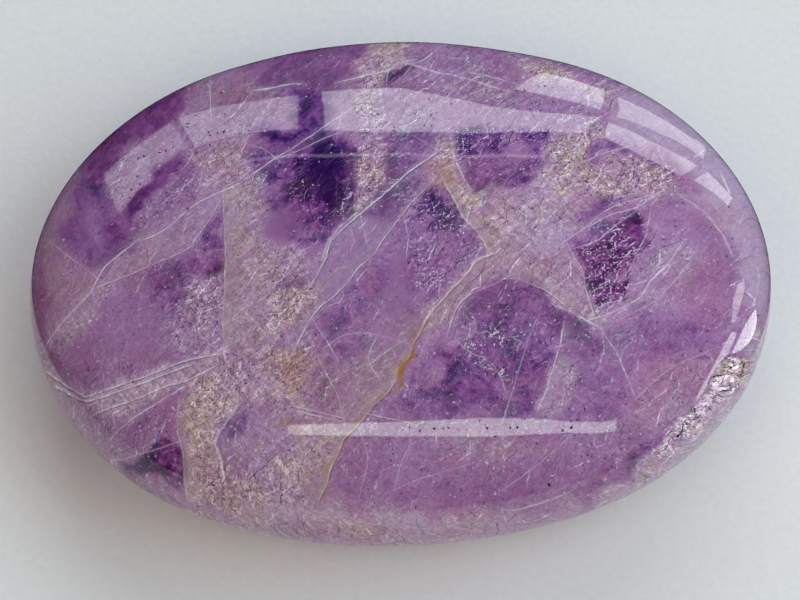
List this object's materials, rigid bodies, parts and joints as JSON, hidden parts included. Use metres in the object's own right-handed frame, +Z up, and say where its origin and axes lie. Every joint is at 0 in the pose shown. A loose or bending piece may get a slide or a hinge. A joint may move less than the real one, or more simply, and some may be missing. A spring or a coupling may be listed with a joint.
{
  "type": "polished amethyst palm stone",
  "caption": "Oval palm stone of banded purple and white quartz, with a domed top, a rounded rim and a natural hollow on its shoulder.",
  "frame": {"origin": "middle of the rest flat, on the surface that the stone lies on", "axes": "+X along the oval's length, towards the end with the rough hollow; +Z up, out of the domed top"},
  "size_m": [0.0679, 0.0489, 0.0203],
  "materials": {
    "polished_amethyst": "polished, milky and see-through quartz in purple, lilac and cream bands"
  },
  "bodies": {
    "root": {"palm_stone": "polished_amethyst"}
  },
  "joints": []
}
